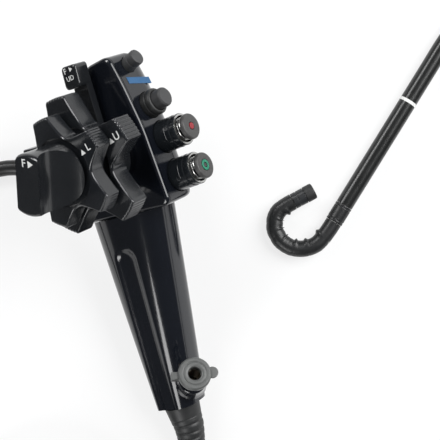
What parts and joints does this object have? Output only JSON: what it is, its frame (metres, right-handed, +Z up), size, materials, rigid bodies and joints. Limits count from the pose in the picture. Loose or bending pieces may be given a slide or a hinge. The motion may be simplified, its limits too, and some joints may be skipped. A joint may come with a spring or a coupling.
{
  "type": "flexible endoscope",
  "caption": "Flexible endoscope: control section with stacked angulation knobs, valves and switches, coiled insertion tube with a hinged bending tip, and a universal cord with connector.",
  "frame": {"origin": "middle of the underside of the box round the control section and the bending section, without the free tube and cord", "axes": "+Z up from the surface the endoscope lies on, +Y away from the biopsy port's end of the grip along the control section, +X towards the insertion tube's tip"},
  "size_m": [0.3104, 0.3157, 0.0969],
  "materials": {
    "gloss_black": "moulded, gloss",
    "satin_black": "moulded, satin",
    "black_rubber": "moulded rubber, matt",
    "tube_black": "smooth polymer skin, semi-gloss",
    "sheath_rubber": "thin rubber sleeve, semi-gloss",
    "cord_black": "smooth polymer skin, satin",
    "steel": "stainless steel",
    "lens_glass": "polished lens",
    "red_mark": "coloured insert",
    "green_mark": "coloured insert"
  },
  "bodies": {
    "control_body": {"head_housing": "gloss_black", "head_cover": "gloss_black", "grip_housing": "gloss_black", "chassis_plate": "steel", "knob_post": "steel", "knob_base": "satin_black", "suction_collar": "gloss_black", "suction_cylinder": "steel", "suction_spring": "steel", "air_water_collar": "gloss_black", "air_water_cylinder": "steel", "air_water_spring": "steel", "switch_2_boot": "black_rubber", "biopsy_port": "steel", "biopsy_valve": "black_rubber", "rl_angle_wire": "steel", "ud_angle_wire": "steel", "insertion_boot": "black_rubber", "universal_cord_boot": "black_rubber", "insertion_tube": "tube_black", "insertion_tube_coil": "tube_black", "insertion_tube_distal": "tube_black", "universal_cord": "cord_black", "universal_cord_coil": "cord_black", "universal_cord_end": "cord_black", "connector_boot": "black_rubber", "connector_body": "satin_black", "connector_face": "steel", "light_guide_pin": "steel", "video_socket": "steel", "suction_nozzle": "steel", "bending_ferrule": "gloss_black", "bending_ring_base": "steel", "bending_sheath": "sheath_rubber"},
    "up_down_control": {"ud_knob": "gloss_black", "ud_pulley": "steel"},
    "right_left_control": {"rl_knob": "gloss_black", "rl_pulley": "steel"},
    "up_down_brake": {"ud_brake_lever": "gloss_black"},
    "right_left_brake": {"rl_brake_knob": "gloss_black"},
    "suction_valve": {"suction_button": "satin_black", "suction_mark": "red_mark"},
    "air_water_valve": {"air_water_button": "satin_black", "air_water_mark": "green_mark"},
    "switch_1": {"switch_1": "black_rubber"},
    "switch_2": {"switch_2": "black_rubber"},
    "port_lid": {"biopsy_lid": "black_rubber"},
    "link_1": {"bending_ring_1": "steel"},
    "link_2": {"bending_ring_2": "steel"},
    "link_3": {"bending_ring_3": "steel"},
    "link_4": {"bending_ring_4": "steel"},
    "link_5": {"bending_ring_5": "steel"},
    "link_6": {"bending_ring_6": "steel"},
    "link_7": {"bending_ring_7": "steel"},
    "link_8": {"bending_ring_8": "steel"},
    "link_9": {"bending_ring_9": "steel"},
    "link_10": {"bending_ring_10": "steel"},
    "tip": {"distal_tip": "satin_black", "tip_cover": "black_rubber", "objective_lens": "lens_glass"}
  },
  "joints": [
    {"name": "ud_knob", "type": "hinge", "parent": "control_body", "child": "up_down_control", "pos_m": [-0.02842, 0.0563, 0.036], "axis": [-0.5306, -0.2729, 0.8025], "range_deg": [0, 143]},
    {"name": "rl_knob", "type": "hinge", "parent": "control_body", "child": "right_left_control", "pos_m": [-0.02842, 0.0563, 0.036], "axis": [-0.5306, -0.2729, 0.8025], "range_deg": [-45, 45]},
    {"name": "ud_brake", "type": "hinge", "parent": "control_body", "child": "up_down_brake", "pos_m": [-0.02842, 0.0563, 0.036], "axis": [-0.5306, -0.2729, 0.8025], "range_deg": [0, 50]},
    {"name": "rl_brake", "type": "hinge", "parent": "control_body", "child": "right_left_brake", "pos_m": [-0.02842, 0.0563, 0.036], "axis": [-0.5306, -0.2729, 0.8025], "range_deg": [0, 90]},
    {"name": "suction_press", "type": "slide", "parent": "control_body", "child": "suction_valve", "axis": [-0.7659, -0.2512, -0.5919], "range_m": [0, 0.0032], "stiffness_N_per_m": 500, "deforming": ["suction_spring"]},
    {"name": "air_water_press", "type": "slide", "parent": "control_body", "child": "air_water_valve", "axis": [-0.7659, -0.2512, -0.5919], "range_m": [0, 0.0032], "stiffness_N_per_m": 500, "deforming": ["air_water_spring"]},
    {"name": "switch_1_press", "type": "slide", "parent": "control_body", "child": "switch_1", "axis": [-0.6496, -0.4771, -0.5919], "range_m": [0, 0.001], "stiffness_N_per_m": 500},
    {"name": "switch_2_press", "type": "slide", "parent": "control_body", "child": "switch_2", "axis": [-0.7313, -0.3312, -0.5962], "range_m": [0, 0.001], "stiffness_N_per_m": 500},
    {"name": "port_lid_hinge", "type": "hinge", "parent": "control_body", "child": "port_lid", "pos_m": [-0.00802, -0.04576, 0.04349], "axis": [0.1164, -0.934, 0.3378], "range_deg": [0, 110]},
    {"name": "bend_1", "type": "hinge", "parent": "control_body", "child": "link_1", "pos_m": [0.0623, 0.01384, 0.0042], "axis": [0, 0, 1], "range_deg": [0, 42.86], "deforming": ["bending_sheath"]},
    {"name": "bend_2", "type": "hinge", "parent": "link_1", "child": "link_2", "pos_m": [0.05552, 0.01019, 0.0042], "axis": [0, 0, 1], "range_deg": [0, 42.86]},
    {"name": "bend_3", "type": "hinge", "parent": "link_2", "child": "link_3", "pos_m": [0.04832, 0.0104, 0.0042], "axis": [0, 0, 1], "range_deg": [0, 42.86]},
    {"name": "bend_4", "type": "hinge", "parent": "link_3", "child": "link_4", "pos_m": [0.04547, 0.01217, 0.0042], "axis": [0.5255, 0.8508, 0], "range_deg": [-25, 25]},
    {"name": "bend_5", "type": "hinge", "parent": "link_4", "child": "link_5", "pos_m": [0.04262, 0.01392, 0.0042], "axis": [0, 0, 1], "range_deg": [0, 42.86]},
    {"name": "bend_6", "type": "hinge", "parent": "link_5", "child": "link_6", "pos_m": [0.04115, 0.01665, 0.0042], "axis": [0.8805, 0.4741, 0], "range_deg": [-25, 25]},
    {"name": "bend_7", "type": "hinge", "parent": "link_6", "child": "link_7", "pos_m": [0.03968, 0.01938, 0.0042], "axis": [0, 0, 1], "range_deg": [0, 42.86]},
    {"name": "bend_8", "type": "hinge", "parent": "link_7", "child": "link_8", "pos_m": [0.03977, 0.02223, 0.0042], "axis": [0.9996, -0.0297, 0], "range_deg": [-25, 25]},
    {"name": "bend_9", "type": "hinge", "parent": "link_8", "child": "link_9", "pos_m": [0.03985, 0.02508, 0.0042], "axis": [0, 0, 1], "range_deg": [0, 42.86]},
    {"name": "bend_10", "type": "hinge", "parent": "link_9", "child": "link_10", "pos_m": [0.04122, 0.02729, 0.0042], "axis": [0.8508, -0.5255, 0], "range_deg": [-25, 25]},
    {"name": "bend_11", "type": "hinge", "parent": "link_10", "child": "tip", "pos_m": [0.04258, 0.02951, 0.0042], "axis": [0, 0, 1], "range_deg": [0, 42.86]}
  ],
  "couplings": [
    {"joint": "bend_1", "follows": "ud_knob", "ratio": 0.2996},
    {"joint": "bend_2", "follows": "ud_knob", "ratio": 0.2996},
    {"joint": "bend_3", "follows": "ud_knob", "ratio": 0.2996},
    {"joint": "bend_4", "follows": "rl_knob", "ratio": 0.5555},
    {"joint": "bend_5", "follows": "ud_knob", "ratio": 0.2996},
    {"joint": "bend_6", "follows": "rl_knob", "ratio": 0.5555},
    {"joint": "bend_7", "follows": "ud_knob", "ratio": 0.2996},
    {"joint": "bend_8", "follows": "rl_knob", "ratio": 0.5555},
    {"joint": "bend_9", "follows": "ud_knob", "ratio": 0.2996},
    {"joint": "bend_10", "follows": "rl_knob", "ratio": 0.5555},
    {"joint": "bend_11", "follows": "ud_knob", "ratio": 0.2996}
  ]
}
